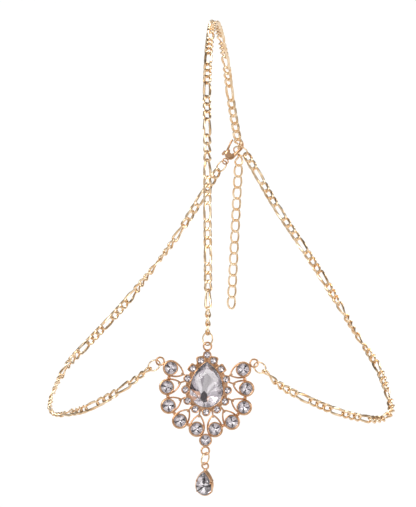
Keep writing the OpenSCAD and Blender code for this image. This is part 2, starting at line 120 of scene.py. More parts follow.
class HairChainLinks(bpy.types.PropertyGroup):
    """Sizes of the chains, the extender and the jump rings."""

    twist: turn("Twist", "Turn of each end of a link out of the chain's flat", 28)
    wire: size("Wire", "Wire of the links, which touch where they cross", 0.84)
    side_wire: size("Side wire", "Width of the links' wire between the crossings", 1.1)
    flat_cut: FloatProperty(
        name="Flat cut", description="How thick a link stays after its faces are cut flat",
        default=0.84, min=0.5, max=1.0, subtype="FACTOR")
    link_steps: IntProperty(
        name="Link steps", description="Sections along one link", default=48, min=16, max=96)
    extender_twist: turn("Extender twist", "Turn of each end of an extender link", 19)
    extender_width: size("Extender width", "Width of the extender's links", 3.85)
    extender_wire: size("Extender wire", "Wire of the extender's links", 0.82)
    ring_gap: size("Ring cut", "Width of the cut in a jump ring", 0.05)


class HairChainPendant(bpy.types.PropertyGroup):
    """Sizes of the pendant's setting and stones."""

    lean: turn("Lean", "Lean of the pendant back from the vertical", 22)
    wire_width: size("Wire width", "Width of the petal wires, seen from the front", 0.7)
    wire_depth: size("Wire depth", "Depth of the petal wires, front to back", 1.1)
    petal_length: size("Petal length", "From a petal's stone to its tip", 6.0)
    petal_rim: size("Petal rim", "From a petal's stone to the outer edge of its wire", 0.85)
    seat_height: size("Seat height", "Depth of the stone seats", 2.2)
    seat_wall: size("Seat wall", "Thickness of the seat walls", 0.45)
    wall_height: size("Centre wall", "Depth of the wall round the centre stone", 3.1)
    centre_wall: size("Centre rim", "Thickness of the wall round the centre stone", 0.3)
    loop_wire: size("Loop wire", "Wire diameter of the loops", 0.76)
    loop_bore: size("Loop bore", "Inside diameter of the loops", 2.34)
    bead: size("Bead", "Radius of the beads that hold the small stones", 0.24)


class HairChainDrop(bpy.types.PropertyGroup):
    """Sizes of the drop under the pendant."""

    turned: turn("Turn", "Turn of the drop about its own hanging line", 32)
    eased: turn("Eased", "How far the drop has swung back about its bail", 11)
    depth: size("Depth", "Depth of the setting behind the stone's girdle", 3.2)
    wall: size("Wall", "Thickness of the setting's rails", 0.8)
    claw: size("Claw", "Diameter of the claws", 0.6)
    bail_wire: size("Bail wire", "Wire diameter of the bail", 0.7)
    bail_diameter: size("Bail", "Outside diameter of the bail", 3.4)
    bail_behind: size("Bail behind", "How far the bail stands behind the stone's girdle", 1.4)


class HairChainClasp(bpy.types.PropertyGroup):
    """Sizes of the lobster clasp."""

    tilt: turn("Tilt", "Tilt of the clasp in the plane it hangs in", 57)
    nose: size("Nose", "Outer radius of the nose", 3.0)
    heel: size("Heel", "Outer radius of the heel", 2.2)
    length: size("Length", "Distance between the centres of nose and heel", 4.6)
    arm_width: size("Arm width", "Width of the hook's arm", 1.2)
    arm_depth: size("Arm depth", "Thickness of the hook's arm", 1.4)
    lever_width: size("Lever width", "Width of the lever", 0.9)
    lever_depth: size("Lever depth", "Thickness of the lever", 0.8)
    eye_bore: size("Eye bore", "Bore of the tail eye", 1.7)


class HairChainFinish(bpy.types.PropertyGroup):
    """Colours of the metals, the stones with the painted light and shade of their foil, and the
    stage.
    """

    rose: colour("Rose gold", "Rose gold plate of the pendant, drop and clasp", "#E8BF9C")
    rose_deep: colour("Deep rose", "Where the rose plate is thicker", "#BF8F65")
    pale: colour("Pale gold", "Pale gold plate of the chains and jump rings", "#F6DFC0")
    pale_deep: colour("Deep pale", "Where the pale plate is thicker", "#E0B88A")
    glass: colour("Glass", "The stones' lead glass", "#FDFBFF")
    # The four foil colours are painted light, painted half shade, painted shade and a painted
    # reflection of the plated setting, laid on the stones' back facets
    foil_painted_light: colour("Painted light foil", "Facets that throw the light back", "#FFFBFC")
    foil_painted_half_shade: colour("Painted half shade foil", "Facets half in shadow", "#DAD3D8")
    foil_painted_shade: colour("Painted shade foil", "Facets that look into the dark", "#5A5357")
    foil_painted_reflection: colour("Painted reflection foil", "Facets that mirror the plated setting", "#E3B497")
    floor: colour("Floor", "The pale floor", "#FCFCFB")


class HairChainStage(bpy.types.PropertyGroup):
    """The camera's place and frame."""

    pixel: size("Pixel", "Size of one of the picture's pixels at the object", 0.4)
    azimuth: turn("Azimuth", "The camera's turn about the vertical", -1.5)
    elevation: turn("Elevation", "How far the camera looks down", 22)
    roll: turn("Roll", "The picture's turn", 0.6)
    lens: FloatProperty(name="Lens", description="Focal length", default=1200.0, min=50.0,
                        unit="CAMERA")
    target: FloatVectorProperty(
        name="Target", description="The point of the object that the picture is laid out from",
        default=(0.002, -0.093, -0.093), subtype="TRANSLATION", unit="LENGTH")
    offset: FloatVectorProperty(
        name="Offset", description="Picture centre from the target, in pixels right and up",
        default=(0.3, 83.5), size=2)


class HairChainSettings(bpy.types.PropertyGroup):
    """All sizes and colours of the hair chain."""

    links: PointerProperty(type=HairChainLinks)
    pendant: PointerProperty(type=HairChainPendant)
    drop: PointerProperty(type=HairChainDrop)
    clasp: PointerProperty(type=HairChainClasp)
    finish: PointerProperty(type=HairChainFinish)
    stage: PointerProperty(type=HairChainStage)


# The CAD nodes

def node_points(name):
    """A CAD node's points, in millimetres."""
    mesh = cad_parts[name].data
    points = np.empty(3 * len(mesh.vertices))
    mesh.vertices.foreach_get("co", points)
    return points.reshape(-1, 3) / MM


def box_in(name, axes):
    """A CAD node's lowest and highest corners along the columns of a 3 x 3 array."""
    points = node_points(name) @ axes
    return points.min(axis=0), points.max(axis=0)


def loose_parts(name):
    """A CAD node's loose solids: each one's centre, long, flat and thin axes, and half sizes."""
    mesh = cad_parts[name].data
    points, same = np.unique(node_points(name).round(3), axis=0, return_inverse=True)
    same = same.ravel()
    ends = np.empty(2 * len(mesh.edges), dtype=int)
    mesh.edges.foreach_get("vertices", ends)
    root = list(range(len(points)))

    def top(i):
        """The point that stands for all the points joined to one."""
        while root[i] != i:
            root[i] = root[root[i]]
            i = root[i]
        return i

    for a, b in same[ends].reshape(-1, 2).tolist():
        a, b = top(a), top(b)
        if a != b:
            root[b] = a
    label = np.array([top(i) for i in range(len(points))])
    count = len(mesh.polygons)
    centres, areas, firsts = np.empty(3 * count), np.empty(count), np.empty(count, dtype=int)
    mesh.polygons.foreach_get("center", centres)
    mesh.polygons.foreach_get("area", areas)
    mesh.polygons.foreach_get("loop_start", firsts)
    corners = np.empty(len(mesh.loops), dtype=int)
    mesh.loops.foreach_get("vertex_index", corners)
    centres = centres.reshape(-1, 3) / MM
    face_label = label[same[corners[firsts]]]
    parts = []
    for one in np.unique(label):
        mine, weight = centres[face_label == one], areas[face_label == one]
        middle = np.average(mine, axis=0, weights=weight)
        axes = np.linalg.eigh(np.cov((mine - middle).T, aweights=weight))[1][:, ::-1]
        local = points[label == one] @ axes
        low, high = local.min(axis=0), local.max(axis=0)
        parts.append((axes @ ((low + high) / 2), axes, (high - low) / 2))
    return parts


def in_order(parts, start):
    """Loose solids sorted along the chain that they make, from the one nearest a point."""
    left = list(parts)
    here = np.array(start)
    chain = []
    while left:
        k = min(range(len(left)), key=lambda i: np.linalg.norm(left[i][0] - here))
        chain.append(left.pop(k))
        here = chain[-1][0]
    return chain


# Shapes

class Shape:
    """Points and faces of one piece, in millimetres, in a frame of its own."""

    def __init__(self, at=HERE):
        """An empty piece whose frame is set by a matrix."""
        self.at = at
        self.points, self.faces, self.numbers = [], [], []

    def add(self, points, faces, at=HERE, numbers=0):
        """Adds points placed by a matrix, and faces that count from the first of them.

        The numbers say which of the piece's materials a face has.
        """
        first = len(self.points)
        m = self.at @ at
        if np.linalg.det(m[:3, :3]) < 0:
            faces = [tuple(reversed(f)) for f in faces]
        self.points.extend((np.asarray(points, dtype=float) @ m[:3, :3].T + m[:3, 3]).tolist())
        self.faces.extend(tuple(first + i for i in f) for f in faces)
        self.numbers.extend([numbers] * len(faces) if isinstance(numbers, int) else numbers)

    def make(self, name, body, slot, node, sharp=40):
        """Makes the piece, which rides on a body and stands for a CAD node."""
        mesh = bpy.data.meshes.new(name)
        mesh.from_pydata((np.array(self.points) * MM).tolist(), [], self.faces)
        for material in SLOTS[slot]():
            mesh.materials.append(material)
        mesh.polygons.foreach_set("material_index", self.numbers)
        if sharp:
            mesh.shade_smooth()
            mesh.set_sharp_from_angle(angle=math.radians(sharp))
        else:
            mesh.shade_flat()
        if mesh.validate():
            raise RuntimeError(name + " has faces that are not valid")
        piece = bpy.data.objects.new(name, mesh)
        bpy.context.scene.collection.objects.link(piece)
        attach(piece, body)
        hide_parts(node)


def unit(v):
    """A vector, or each row of an array, at length 1."""
    v = np.asarray(v, dtype=float)
    return v / np.linalg.norm(v, axis=-1, keepdims=True)


def matrix(origin, axes):
    """A 4 x 4 array from an origin and the columns of a 3 x 3 array."""
    m = np.eye(4)
    m[:3, :3] = axes
    m[:3, 3] = origin
    return m


def moved(x, y, z=0.0, degrees=0.0):
    """A move in a piece's own frame, with a turn about its z axis."""
    return np.array(Matrix.Translation((x, y, z)) @ Matrix.Rotation(math.radians(degrees), 4, "Z"))


def on_circle(radius, degrees):
    """Points on a circle at given angles."""
    a = np.radians(degrees)
    return np.stack([radius * np.cos(a), radius * np.sin(a)], axis=-1)


def lifted(flat, z):
    """Flat points raised to a height."""
    return np.column_stack([flat, np.full(len(flat), z)])


def round_section(diameter, steps=12, kept=1.0):
    """A round wire's section whose two faces are cut flat to a share of its thickness."""
    section = on_circle(diameter / 2, np.arange(steps) * 360 / steps + 180 / steps)
    section[:, 1] = np.clip(section[:, 1], -kept * diameter / 2, kept * diameter / 2)
    return section


def bar_section(width, depth, corner, steps=3):
    """A flat bar's section with rounded corners."""
    corners = []
    for k, (sx, sy) in enumerate([(1, 1), (-1, 1), (-1, -1), (1, -1)]):
        arc = on_circle(corner, np.linspace(90 * k, 90 * k + 90, steps + 1))
        corners.append(arc + [sx * (width / 2 - corner), sy * (depth / 2 - corner)])
    return np.concatenate(corners)


def skin(rings, points, closed):
    """Faces that join rings of points, one after another, with the first and last one capped."""
    faces = [(i * points + j, i * points + k, (i + 1) % rings * points + k,
              (i + 1) % rings * points + j)
             for i in range(rings if closed else rings - 1)
             for j, k in zip(range(points), [*range(1, points), 0])]
    if not closed:
        faces.append(tuple(range(points - 1, -1, -1)))
        faces.append(tuple(range((rings - 1) * points, rings * points)))
    return faces


def swept(path, up, section, closed):
    """A section carried along a path, its first direction across the path and its second up."""
    path = np.asarray(path, dtype=float)
    up = np.broadcast_to(np.asarray(up, dtype=float), path.shape)
    if closed:
        ahead = unit(np.roll(path, -1, axis=0) - np.roll(path, 1, axis=0))
    else:
        ahead = unit(np.gradient(path, axis=0))
    side = unit(np.cross(ahead, up))
    up = np.cross(side, ahead)
    section = np.asarray(section)
    if section.ndim == 2:
        section = np.broadcast_to(section, (len(path),) + section.shape)
    points = path[:, None] + side[:, None] * section[..., :1] + up[:, None] * section[..., 1:]
    # Seen along the path, a section runs the other way round from an outline's rings
    return points.reshape(-1, 3), [f[:1] + f[:0:-1] for f in skin(*points.shape[:2], closed)]


def walled(outline, rings, closed=False):
    """Rings of an outline, each grown by a length and set at a height, joined and capped."""
    loops = [lifted(outline(grow), z) for grow, z in rings]
    return np.concatenate(loops), skin(len(loops), len(loops[0]), closed)


def circle_outline(radius, steps=48):
    """A circle that can grow."""
    return lambda grow: on_circle(radius + grow, np.arange(steps) * 360 / steps)


def square_outline(half, steps=48, power=5.0):
    """A square with soft corners that can grow."""
    a = np.radians(np.arange(steps) * 360 / steps)
    share = (np.abs(np.cos(a)) ** power + np.abs(np.sin(a)) ** power) ** (-1 / power)
    return lambda grow: np.stack([np.cos(a), np.sin(a)], axis=-1) * (share * (half + grow))[:, None]


def pear_reach(radius, tip, degrees, grow=0.0):
    """How far a pear outline reaches at an angle: a circle below, two arcs to a point above."""
    big = (tip * tip + radius * radius) / (2 * radius)
    inset = big - radius
    sine, cosine = np.sin(np.radians(degrees)), np.abs(np.cos(np.radians(degrees)))
    arc = np.sqrt((big + grow) ** 2 - (inset * sine) ** 2) - inset * cosine
    return np.where(sine <= 0, radius + grow, arc)


def pear_outline(radius, tip, steps=96):
    """A pear outline that can grow, its point along +y."""
    degrees = 90 + np.arange(steps) * 360 / steps
    return lambda grow: on_circle(1, degrees) * pear_reach(radius, tip, degrees, grow)[:, None]


def plate(outline, low, high, bevel):
    """A flat plate of a given outline, which runs anticlockwise, with its edges taken off."""
    outline = np.asarray(outline, dtype=float)
    ahead = unit(np.roll(outline, -1, axis=0) - np.roll(outline, 1, axis=0))
    out = np.stack([ahead[:, 1], -ahead[:, 0]], axis=-1)
    return walled(lambda grow: outline + out * grow,
                  [(-bevel, low), (0, low + bevel), (0, high - bevel), (-bevel, high)])


def pillow(outline, high):
    """A cheek with a rounded face: its outline drawn in towards its middle as it rises."""
    middle = outline.mean(axis=0)
    rings = ((1, 0), (1, 0.35), (0.95, 0.6), (0.84, 0.8), (0.66, 0.93), (0.4, 0.99), (0.15, 1))
    points = [lifted(middle + (outline - middle) * share, high * rise) for share, rise in rings]
    return np.concatenate(points), skin(len(rings), len(outline), False)


def dome(radius, height, steps=16, rows=4):
    """A small rounded head that stands on z = 0, with a stem below."""
    stem = 0.3
    rings = [(0, -stem)] + [(radius * (math.cos(a) - 1), height * math.sin(a))
                            for a in np.linspace(0, math.radians(80), rows)]
    return walled(circle_outline(radius, steps), rings)


# Materials

def linear(hex_value):
    """An sRGB hex colour as the linear values that shaders take."""
    parts = [int(hex_value[i:i + 2], 16) / 255 for i in (1, 3, 5)]
    return [c / 12.92 if c <= 0.04045 else ((c + 0.055) / 1.055) ** 2.4 for c in parts] + [1.0]


def add_node(tree, kind, inputs=None, **settings):
    """Adds a shader node with its settings, and sets or links its inputs."""
    node = tree.nodes.new(kind)
    for key, value in settings.items():
        setattr(node, key, value)
    for key, value in (inputs or {}).items():
        if isinstance(value, bpy.types.NodeSocket):
            tree.links.new(value, node.inputs[key])
        else:
            node.inputs[key].default_value = value
    return node


def new_material(name):
    """An empty material, and the tree for its nodes."""
    material = bpy.data.materials.get(name) or bpy.data.materials.new(name)
    material.use_nodes = True
    material.node_tree.nodes.clear()
    return material, material.node_tree


def plated_brass(name, plate_colour, deep_colour):
    """Cast or drawn brass, barrel-polished and gold-plated.

    The eye sees near-mirror metal whose colour deepens where the plate is thicker, and soft
    unevenness from the barrel that breaks up each highlight.
    """
    # Widths of the patches of thicker plate and of the barrel's marks, and the marks' depth
    patch, mark, mark_depth = 3 * MM, 0.5 * MM, 0.02 * MM
    material, tree = new_material(name)
    place = add_node(tree, "ShaderNodeTexCoord").outputs["Object"]
    plate_patches = add_node(tree, "ShaderNodeTexNoise", {
        "Vector": place, "Scale": 1 / patch, "Detail": 3.0, "Roughness": 0.6})
    barrel_marks = add_node(tree, "ShaderNodeTexNoise", {
        "Vector": place, "Scale": 1 / mark, "Detail": 2.0})
    thickness = add_node(tree, "ShaderNodeMapRange", {
        "Value": plate_patches.outputs["Fac"], "From Min": 0.35, "From Max": 0.65})
    tone = add_node(tree, "ShaderNodeMix", {
        0: thickness.outputs["Result"], 6: linear(plate_colour), 7: linear(deep_colour)},
        data_type="RGBA")
    polish = add_node(tree, "ShaderNodeMapRange", {
        "Value": barrel_marks.outputs["Fac"], "From Min": 0.3, "From Max": 0.7,
        "To Min": 0.10, "To Max": 0.24})
    relief = add_node(tree, "ShaderNodeBump", {
        "Height": barrel_marks.outputs["Fac"], "Strength": 0.25, "Distance": mark_depth})
    metal = add_node(tree, "ShaderNodeBsdfPrincipled", {
        "Base Color": tone.outputs[2], "Metallic": 1.0, "Roughness": polish.outputs["Result"],
        "Normal": relief.outputs["Normal"]})
    add_node(tree, "ShaderNodeOutputMaterial", {"Surface": metal.outputs["BSDF"]})
    return material


def lead_glass(name, glass_colour):
    """Lead glass, cut and fire-polished: clear, with sharp bright reflections on flat facets."""
    # Width of the cloudy spots that polishing leaves
    cloud = 2 * MM
    material, tree = new_material(name)
    place = add_node(tree, "ShaderNodeTexCoord").outputs["Object"]
    haze = add_node(tree, "ShaderNodeTexNoise", {"Vector": place, "Scale": 1 / cloud})
    polish = add_node(tree, "ShaderNodeMapRange", {
        "Value": haze.outputs["Fac"], "To Min": 0.0, "To Max": 0.04})
    glass = add_node(tree, "ShaderNodeBsdfPrincipled", {
        "Base Color": linear(glass_colour), "Roughness": polish.outputs["Result"], "IOR": 1.57,
        "Transmission Weight": 1.0})
    add_node(tree, "ShaderNodeOutputMaterial", {"Surface": glass.outputs["BSDF"]})
    return material


def foil(name, painted_foil_colour, mirror):
    """Silver foil behind the cut glass, under white lacquer that scatters a share of the light.

    The eye sees each back facet as its own tone, from white to dark: painted light, shade and
    reflection of what the facet would mirror, with a mirror's glints.
    """
    # Width of the foil's creases
    crease = 0.8 * MM
    material, tree = new_material(name)
    place = add_node(tree, "ShaderNodeTexCoord").outputs["Object"]
    creases = add_node(tree, "ShaderNodeTexNoise", {"Vector": place, "Scale": 1 / crease})
    shine = add_node(tree, "ShaderNodeMapRange", {
        "Value": creases.outputs["Fac"], "To Min": 0.02, "To Max": 0.14})
    metal = add_node(tree, "ShaderNodeBsdfPrincipled", {
        "Base Color": linear(painted_foil_colour), "Metallic": mirror,
        "Roughness": shine.outputs["Result"]})
    add_node(tree, "ShaderNodeOutputMaterial", {"Surface": metal.outputs["BSDF"]})
    return material


def rose_gold():
    """The plate of the pendant, the drop and the clasp."""
    finish = bpy.context.scene.hair_chain.finish
    return [plated_brass("rose gold plated brass", finish.rose, finish.rose_deep)]


def pale_gold():
    """The plate of the chains and the jump rings."""
    finish = bpy.context.scene.hair_chain.finish
    return [plated_brass("pale gold plated brass", finish.pale, finish.pale_deep)]


def crystal():
    """Glass for a stone's front, and four tones of foil for its back facets: painted light, painted
    half shade, painted shade and a painted reflection of the setting.
    """
    finish = bpy.context.scene.hair_chain.finish
    return [lead_glass("cut lead glass", finish.glass),
            foil("foil with painted light", finish.foil_painted_light, 0.75), foil("foil with painted half shade", finish.foil_painted_half_shade, 0.7),
            foil("foil with painted shade", finish.foil_painted_shade, 0.8), foil("foil with painted reflection", finish.foil_painted_reflection, 0.5)]


# What makes the materials of each slot
SLOTS = {"rose_gold": rose_gold, "pale_gold": pale_gold, "crystal": crystal}


# Chains and rings

def angle_near(vector, flat, thin, near):
    """Angle of a vector from flat towards thin, in degrees, turned by half turns to be near one."""
    a = math.degrees(math.atan2(vector @ thin, vector @ flat))
    return a - 180 * round((a - near) / 180)


def link_path(long_half, radius, steps):
    """The middle line of a link with straight sides: places along and across, evenly spaced."""
    straight = long_half - radius
    arc = math.pi * radius
    path = []
    for s in (np.arange(steps) + 0.5) * 2 * (arc + 2 * straight) / steps:
        sign = 1 if s < arc + 2 * straight else -1
        s = s % (arc + 2 * straight)
        if s < arc:
            a = s / radius - math.pi / 2
            x, y = straight + radius * math.cos(a), radius * math.sin(a)
        else:
            x, y = straight - (s - arc), radius
        path.append((sign * x, sign * y))
    return np.array(path)


def oval_path(long_half, flat_half, steps, power=2.4):
    """The middle line of an oval link: places along and across."""
    a = (np.arange(steps) + 0.5) * 2 * math.pi / steps
    sine, cosine = np.sin(a), np.cos(a)
    return np.column_stack([long_half * np.sign(cosine) * np.abs(cosine) ** (2 / power),
                            flat_half * np.sign(sine) * np.abs(sine) ** (2 / power)])


def add_link(shape, centre, along, flat, path, angles, wire, side_wire, kept):
    """A link whose two ends are turned out of the chain's flat by their own angles."""
    thin = np.cross(along, flat)
    reach = path[:, 0] / path[:, 0].max()
    share = np.sin(reach * math.pi / 2)
    a = np.radians((angles[0] + angles[1]) / 2 + (angles[1] - angles[0]) / 2 * share)[:, None]
    across = np.cos(a) * flat + np.sin(a) * thin
    normal = np.cos(a) * thin - np.sin(a) * flat
    points = centre + path[:, :1] * along + path[:, 1:] * across
    section = np.repeat(round_section(wire, 12, kept)[None], len(path), axis=0)
    section[:, :, 0] *= (1 + (side_wire / wire - 1) * (1 - np.abs(reach) ** 3))[:, None]
    shape.add(*swept(points, normal, section, True))


def directed(parts):
    """Parts of a chain with their long axes along it and their flat axes on one side."""
    centres = np.array([p[0] for p in parts])
    out = []
    for i, (centre, axes, half) in enumerate(parts):
        ahead = centres[min(i + 1, len(parts) - 1)] - centres[max(i - 1, 0)]
        along = axes[:, 0] * (1 if axes[:, 0] @ ahead > 0 else -1)
        flat = axes[:, 1]
        if out and out[-1][2] @ flat < 0:
            flat = -flat
        out.append((centre, along, flat, half))
    return out


def make_chain(name, ring, piece, twist, path_of, wire, side_wire, kept=1.0):
    """Makes a chain's piece: a twisted link in the place of each of the CAD chain's links.

    The ring is where the chain starts, and a link's path comes from its half sizes.
    """
    parts = directed(in_order(loose_parts(name), np.mean(box_in(ring, np.eye(3)), axis=0)))
    last = len(parts) - 1
    centres = np.array([part[0] for part in parts])
    run = np.concatenate([[0], np.cumsum(np.linalg.norm(np.diff(centres, axis=0), axis=1))])
    between = np.concatenate([[0], (run[1:] + run[:-1]) / 2, [run[-1]]])
    turns = np.interp(between, *zip(*CHAIN_TURNS[name]))
    twist = math.degrees(twist)
    shape = Shape()
    for i, (centre, along, own, half) in enumerate(parts):
        if 0 < i < last:
            beside = [parts[j][2] for j in (i - 1, i + 1) if 0 < j < last]
            flat = own + sum(beside) / len(beside)
        else:
            near, far = (parts[1][2], parts[2][2]) if i == 0 else (parts[-2][2], parts[-3][2])
            flat = near + far
        flat = unit(flat - (flat @ along) * along)
        thin = np.cross(along, flat)
        angles = [turns[i] - twist, turns[i + 1] + twist]
        if i in (0, last):
            end = 0 if i == 0 else 1
            angles[end] = angle_near(own, flat, thin, angles[end])
        add_link(shape, centre, along, flat, path_of(half), angles, wire, side_wire, kept)
    shape.make(piece, "worn_chain", "pale_gold", name)


def add_wire_ring(shape, name, cut, gap):
    """A jump ring of round wire, with its two sawn ends a hair apart."""
    (centre, axes, half), = loose_parts(name)
    normal, wire = axes[:, 2], 2 * half[2]
    radius = half[0] - wire / 2
    towards = unit(np.array(cut) - (np.array(cut) @ normal) * normal)
    beyond = np.cross(normal, towards)
    # The sawn ends are filed over their last 0.05 mm, to 0.86 of the wire
    filed, end_share = 0.05, 0.86
    edge, inner = (math.degrees(length / radius) for length in (gap / 2, gap / 2 + filed))
    angles = np.concatenate([[edge], np.linspace(inner, 360 - inner, 61), [360 - edge]])
    flat = on_circle(radius, angles)
    section = np.broadcast_to(round_section(wire, 14), (len(angles), 14, 2)).copy()
    section[[0, -1]] *= end_share
    shape.add(*swept(centre + flat[:, :1] * towards + flat[:, 1:] * beyond, normal, section, False))


class HAIRCHAIN_OT_chains(bpy.types.Operator):
    """Builds the three figaro chains from curb-twisted links"""

    bl_idname = "hair_chain.chains"
    bl_label = "Figaro chains"

    def execute(self, context):
        links = context.scene.hair_chain.links
        rings = {"centre_chain": "top_ring", "left_chain": "left_ring", "right_chain": "right_ring"}
        wire, side_wire = links.wire / MM, links.side_wire / MM
        for name, ring in rings.items():
            make_chain(name, ring, name + "_links", links.twist,
                       lambda half: link_path(half[0] - half[2], half[1] - side_wire / 2,
                                              links.link_steps),
                       wire, side_wire, links.flat_cut)
        return {"FINISHED"}


class HAIRCHAIN_OT_extender(bpy.types.Operator):
    """Builds the extender from plain oval links"""

    bl_idname = "hair_chain.extender"
    bl_label = "Extender"

    def execute(self, context):
        links = context.scene.hair_chain.links
        wire, width = links.extender_wire / MM, links.extender_width / MM
        make_chain("extender_chain", "end_ring", "extender_links", links.extender_twist,
                   lambda half: oval_path(half[0] - wire / 2, (width - wire) / 2,
                                          links.link_steps), wire, wire)
        return {"FINISHED"}


class HAIRCHAIN_OT_jump_rings(bpy.types.Operator):
    """Builds the jump rings and the end ring from cut round wire"""

    bl_idname = "hair_chain.jump_rings"
    bl_label = "Jump rings"

    def execute(self, context):
        gap = context.scene.hair_chain.links.ring_gap / MM
        for name, cut in RING_CUTS.items():
            shape = Shape()
            add_wire_ring(shape, name, cut, gap)
            body = "drop_link" if name == "drop_ring" else "worn_chain"
            shape.make(name + "_wire", body, "pale_gold", name)
        return {"FINISHED"}


# Stones

def reach_from(outline, centre):
    """How far a closed outline reaches at each angle round a point inside it."""
    local = outline - centre
    degrees = np.degrees(np.arctan2(local[:, 1], local[:, 0]))
    far = np.hypot(local[:, 0], local[:, 1])
    return lambda a: np.interp(a, degrees, far, period=360)


def brilliant(outline, centre, crown, back, table, mains, arcs, tones, foot_at=None, flat=0.06):
    """A brilliant cut. Returns its points, its facets and their materials' numbers.

    The crown has a table, stars, kites and girdle facets in clear glass. Behind the girdle, long
    facets to a small flat foot carry foil, whose tones are painted light, shade and reflection and
    go round as the given numbers say.
    """
    # The foot's facets take the same painted tones of light and shade as the long ones, some places
    # on
    places_on = 5
    foot_at = np.array(centre if foot_at is None else foot_at)
    reach = reach_from(outline, centre)
    step = 360 / mains
    # Half the thickness that the girdle has at the stone's edge
    edge = 0.06

    def ring(degrees, share, z, shift=0.0):
        """Points at a share of the outline's reach, shifted towards the foot."""
        degrees = np.asarray(degrees)
        ring_at = on_circle(1, degrees) * (reach(degrees) * share)[:, None] + centre
        return lifted(ring_at + shift * (foot_at - centre), z)

    corner = 90 + np.arange(mains) * step
    middle = corner + step / 2
    rim = 90 + np.arange(2 * mains * arcs) * step / (2 * arcs)
    # Shares of the reach where the kites and the long facets end, and of the height there
    kite, foot_in = 0.5 * (1 + table), 0.34
    kite_in = (1 - kite * math.cos(math.radians(step / 2))) / (1 - table)
    foot_z = (1 - foot_in * math.cos(math.radians(step / 2))) / (1 - flat)
    parts = [ring(corner, table, crown), ring(middle, kite, edge + (crown - edge) * kite_in),
             ring(rim, 1, edge), ring(rim, 1, -edge),
             ring(middle, foot_in, -edge - (back - edge) * foot_z, 1 - foot_in),
             ring(corner, flat, -back, 1.0)]
    starts = np.cumsum([0] + [len(p) for p in parts])
    top, mid, up, low, foot, point = (int(s) for s in starts[:6])
    span, around = 2 * arcs, 2 * mains * arcs
    # Material numbers: 0 is clear glass, and the foil numbers give painted light, half shade, shade
    # and a reflection of the setting; the foot takes the last tone, the long back facets the first
    # row and the halves at the girdle the second
    faces = [tuple(range(top, top + mains)), tuple(range(point + mains - 1, point - 1, -1))]
    numbers = [0, tones[2]]
    for i in range(mains):
        j, h = (i + 1) % mains, (i - 1) % mains
        faces.append((top + i, mid + i, top + j))
        faces.append((top + i, mid + h, up + span * i, mid + i))
        numbers += [0, 0]
        faces.append((point + i, foot + i, low + span * i, foot + h))
        faces.append((point + i, point + j, foot + i))
        numbers += [tones[0][k % len(tones[0])] for k in (i, i + places_on)]
        for k in range(span):
            a, b = span * i + k, (span * i + k + 1) % around
            faces.append((mid + i, up + a, up + b))
            faces.append((up + a, low + a, low + b, up + b))
            faces.append((foot + i, low + b, low + a))
            half = 2 * i + (k >= arcs)
            numbers += [0, 1, tones[1][half % len(tones[1])]]
    return np.concatenate(parts), faces, numbers


def make_stone(node, body, at, cut):
    """Makes the piece of a cut stone."""
    points, faces, numbers = cut
    shape = Shape(at)
    shape.add(points, faces, numbers=numbers)
    shape.make(node + "_cut", body, "crystal", node, sharp=0)


# The pendant

def pendant_axes():
    """Directions of the pendant's own x right, y up and z to the front."""
    a = bpy.context.scene.hair_chain.pendant.lean
    return np.array([[1, 0, 0], [0, math.sin(a), -math.cos(a)], [0, math.cos(a), math.sin(a)]])


def pendant_place():
    """The pendant's frame, from the centre of the centre stone's round end on its back plane,
    and that stone's half width and the height of its point."""
    axes = pendant_axes()
    low, high = box_in("centre_stone", axes)
    radius = (high[0] - low[0]) / 2
    back = box_in("pendant_frame", axes)[0][2]
    origin = np.array([(low[0] + high[0]) / 2, low[1] + radius, back])
    return matrix(axes @ origin, axes), origin, radius, high[1] - low[1] - radius


def round_stone(name, origin):
    """How far right and up a round stone's middle lies in the pendant's frame, and its radius."""
    points = node_points(name) @ pendant_axes()
    middle = (points.min(axis=0) + points.max(axis=0)) / 2
    return *(middle - origin)[:2], np.hypot(*(points[:, :2] - middle[:2]).T).max()


def add_seat(shape, outline, height, wall, at=HERE):
    """A seat round a stone's outline: outer wall, rounded lip, pocket and floor."""
    lip, edge, pocket, floor = 0.03, 0.15, 0.4, 0.5
    out, half = SEAT_GAP + wall, (wall + lip) / 2
    top = [(SEAT_GAP - lip + half * (1 + math.cos(a)), height + half * 0.8 * (math.sin(a) - 1))
           for a in np.radians([0, 30, 60, 90, 120, 150, 180])]
    rings = [(out - edge, 0), (out, edge), *top, (SEAT_GAP, height - pocket), (SEAT_GAP, floor)]
    shape.add(*walled(outline, rings), at)


def petal_line(radius, length, wire, steps=72):
    """Middle line of a petal's wire, from its tip on +x round the stone and back to the tip."""
    degrees = np.linspace(90, 450, steps + 1)
    flat = on_circle(1, degrees) * pear_reach(radius, length, degrees, -wire / 2)[:, None]
    return np.column_stack([flat[:, 1], -flat[:, 0]])


def add_bar(shape, line, z, section, at=HERE, closed=False):
    """A bar or wire along a line that lies flat at a height."""
    shape.add(*swept(lifted(line, z), (0, 0, 1), section, closed), at)


def add_strut(shape, start, end, width, depth, at=HERE):
    """A short bar between two soldered pieces."""
    add_bar(shape, np.linspace(start, end, 4), depth / 2, bar_section(width, depth, corner=0.18),
            at)


def add_loop(shape, middle, z, radius, wire):
    """A closed loop of round wire that lies flat at a height."""
    line = on_circle(radius, np.arange(40) * 9) + middle
    add_bar(shape, line, z, round_section(wire, 14), closed=True)


